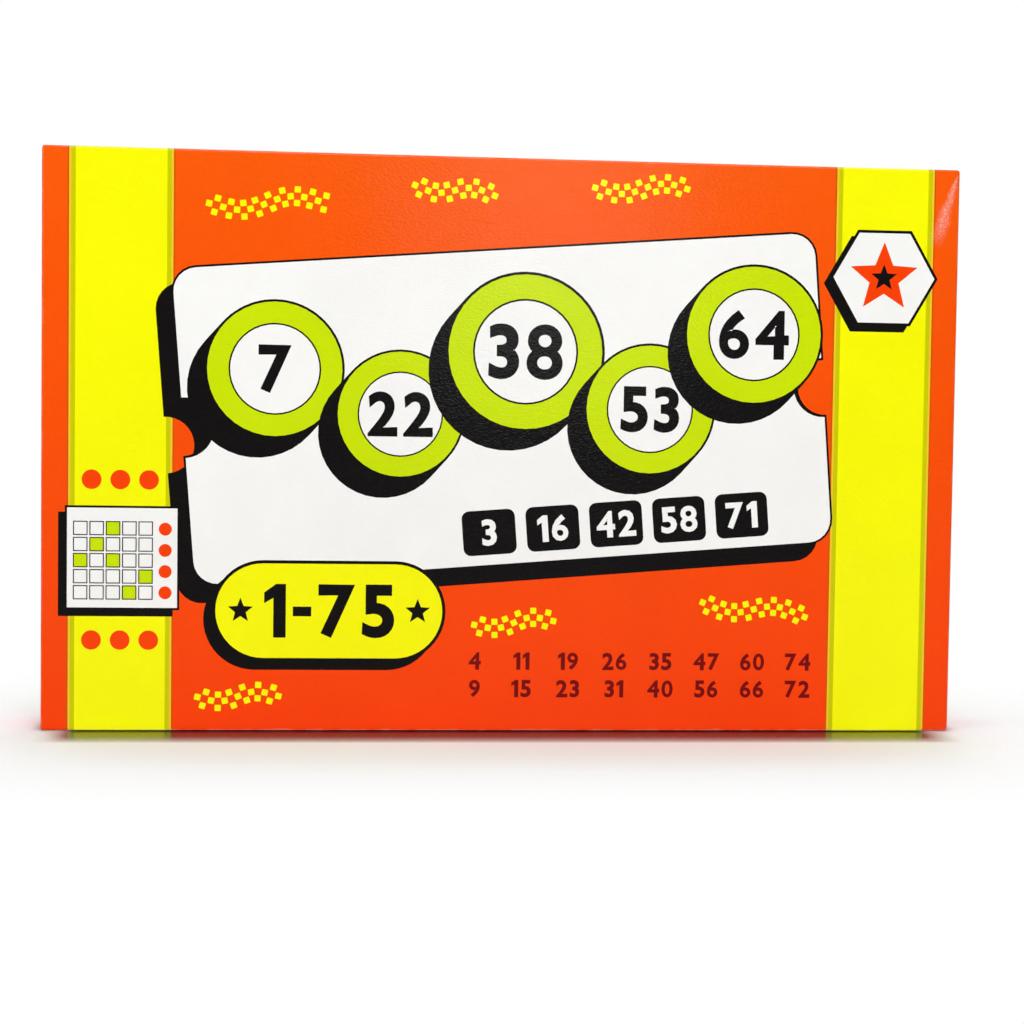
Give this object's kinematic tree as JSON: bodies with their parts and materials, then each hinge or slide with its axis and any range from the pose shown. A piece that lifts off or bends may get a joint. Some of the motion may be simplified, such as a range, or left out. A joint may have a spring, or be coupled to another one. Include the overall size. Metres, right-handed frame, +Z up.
{
  "type": "bingo game",
  "caption": "Boxed bingo game: rigid set-up box with lift-off lid, tally board, bingo cards, tray of numbered calling chips and clear covering markers.",
  "frame": {"origin": "middle of the long narrow side that the closed box stands on", "axes": "+X along the box's length, to the right as one faces the printed lid; +Z up; the printed lid faces -Y and the base's plain bottom faces +Y"},
  "size_m": [0.428, 0.045, 0.268],
  "materials": {
    "printed_wrap": "gloss laminated print, fine leatherette grain",
    "base_wrap_paper": "gloss laminated print, yellow",
    "greyboard": "matt recycled board",
    "stay_tape": "matt kraft tape",
    "white_card": "satin white card",
    "tally_paper": "satin printed sheet",
    "tray_plastic": "moulded black plastic, soft gloss",
    "chip_plastic": "moulded ivory plastic",
    "marker_plastic_1": "clear red moulded plastic",
    "marker_plastic_2": "clear amber moulded plastic",
    "marker_plastic_3": "clear green moulded plastic",
    "marker_plastic_4": "clear blue moulded plastic",
    "marker_plastic_5": "clear violet moulded plastic"
  },
  "bodies": {
    "base": {"base_bottom_board": "greyboard", "base_long_board_1": "greyboard", "base_long_board_2": "greyboard", "base_end_board_1": "greyboard", "base_end_board_2": "greyboard", "base_wrap": "base_wrap_paper", "base_corner_stay_1": "stay_tape", "base_corner_stay_2": "stay_tape", "base_corner_stay_3": "stay_tape", "base_corner_stay_4": "stay_tape", "divider_channel": "white_card"},
    "lid": {"lid_board": "greyboard", "lid_wrap": "printed_wrap", "lid_corner_stay_1": "stay_tape", "lid_corner_stay_2": "stay_tape", "lid_corner_stay_3": "stay_tape", "lid_corner_stay_4": "stay_tape"},
    "tally": {"tally_board": "greyboard", "tally_board_sheet": "tally_paper"},
    "left_cards": {"bingo_card_01": "white_card", "bingo_card_02": "white_card", "bingo_card_03": "white_card", "bingo_card_04": "white_card", "bingo_card_05": "white_card", "bingo_card_06": "white_card", "bingo_card_07": "white_card", "bingo_card_08": "white_card", "bingo_card_09": "white_card", "bingo_card_10": "white_card", "bingo_card_11": "white_card", "bingo_card_12": "white_card", "bingo_card_13": "white_card", "bingo_card_14": "white_card", "bingo_card_15": "white_card"},
    "right_cards": {"bingo_card_16": "white_card", "bingo_card_17": "white_card", "bingo_card_18": "white_card", "bingo_card_19": "white_card", "bingo_card_20": "white_card", "bingo_card_21": "white_card", "bingo_card_22": "white_card", "bingo_card_23": "white_card", "bingo_card_24": "white_card", "bingo_card_25": "white_card", "bingo_card_26": "white_card", "bingo_card_27": "white_card", "bingo_card_28": "white_card", "bingo_card_29": "white_card", "bingo_card_30": "white_card"},
    "tray": {"chip_tray": "tray_plastic"},
    "chips": {"calling_chips_b": "chip_plastic", "calling_chips_i": "chip_plastic", "calling_chips_n": "chip_plastic", "calling_chips_g": "chip_plastic", "calling_chips_o": "chip_plastic"},
    "markers": {"covering_markers_1": "marker_plastic_1", "covering_markers_2": "marker_plastic_2", "covering_markers_3": "marker_plastic_3", "covering_markers_4": "marker_plastic_4", "covering_markers_5": "marker_plastic_5"}
  },
  "joints": [
    {"name": "lid_slide", "type": "slide", "parent": "base", "child": "lid", "axis": [0, -1, 0], "range_m": [0, 0.36]},
    {"name": "tally_lift", "type": "slide", "parent": "base", "child": "tally", "axis": [0, -1, 0], "range_m": [0, 0.22]},
    {"name": "left_cards_lift", "type": "slide", "parent": "base", "child": "left_cards", "axis": [0, -1, 0], "range_m": [0, 0.095]},
    {"name": "right_cards_lift", "type": "slide", "parent": "base", "child": "right_cards", "axis": [0, -1, 0], "range_m": [0, 0.095]},
    {"name": "tray_lift", "type": "slide", "parent": "base", "child": "tray", "axis": [0, -1, 0], "range_m": [0, 0.055]},
    {"name": "chips_lift", "type": "slide", "parent": "tray", "child": "chips", "axis": [0, -1, 0], "range_m": [0, 0.045]},
    {"name": "markers_lift", "type": "slide", "parent": "tray", "child": "markers", "axis": [0, -1, 0], "range_m": [0, 0.045]}
  ],
  "couplings": [
    {"joint": "tally_lift", "follows": "lid_slide", "ratio": 0.6},
    {"joint": "left_cards_lift", "follows": "lid_slide", "ratio": 0.25},
    {"joint": "right_cards_lift", "follows": "lid_slide", "ratio": 0.25},
    {"joint": "tray_lift", "follows": "lid_slide", "ratio": 0.14},
    {"joint": "chips_lift", "follows": "lid_slide", "ratio": 0.115},
    {"joint": "markers_lift", "follows": "lid_slide", "ratio": 0.115}
  ]
}
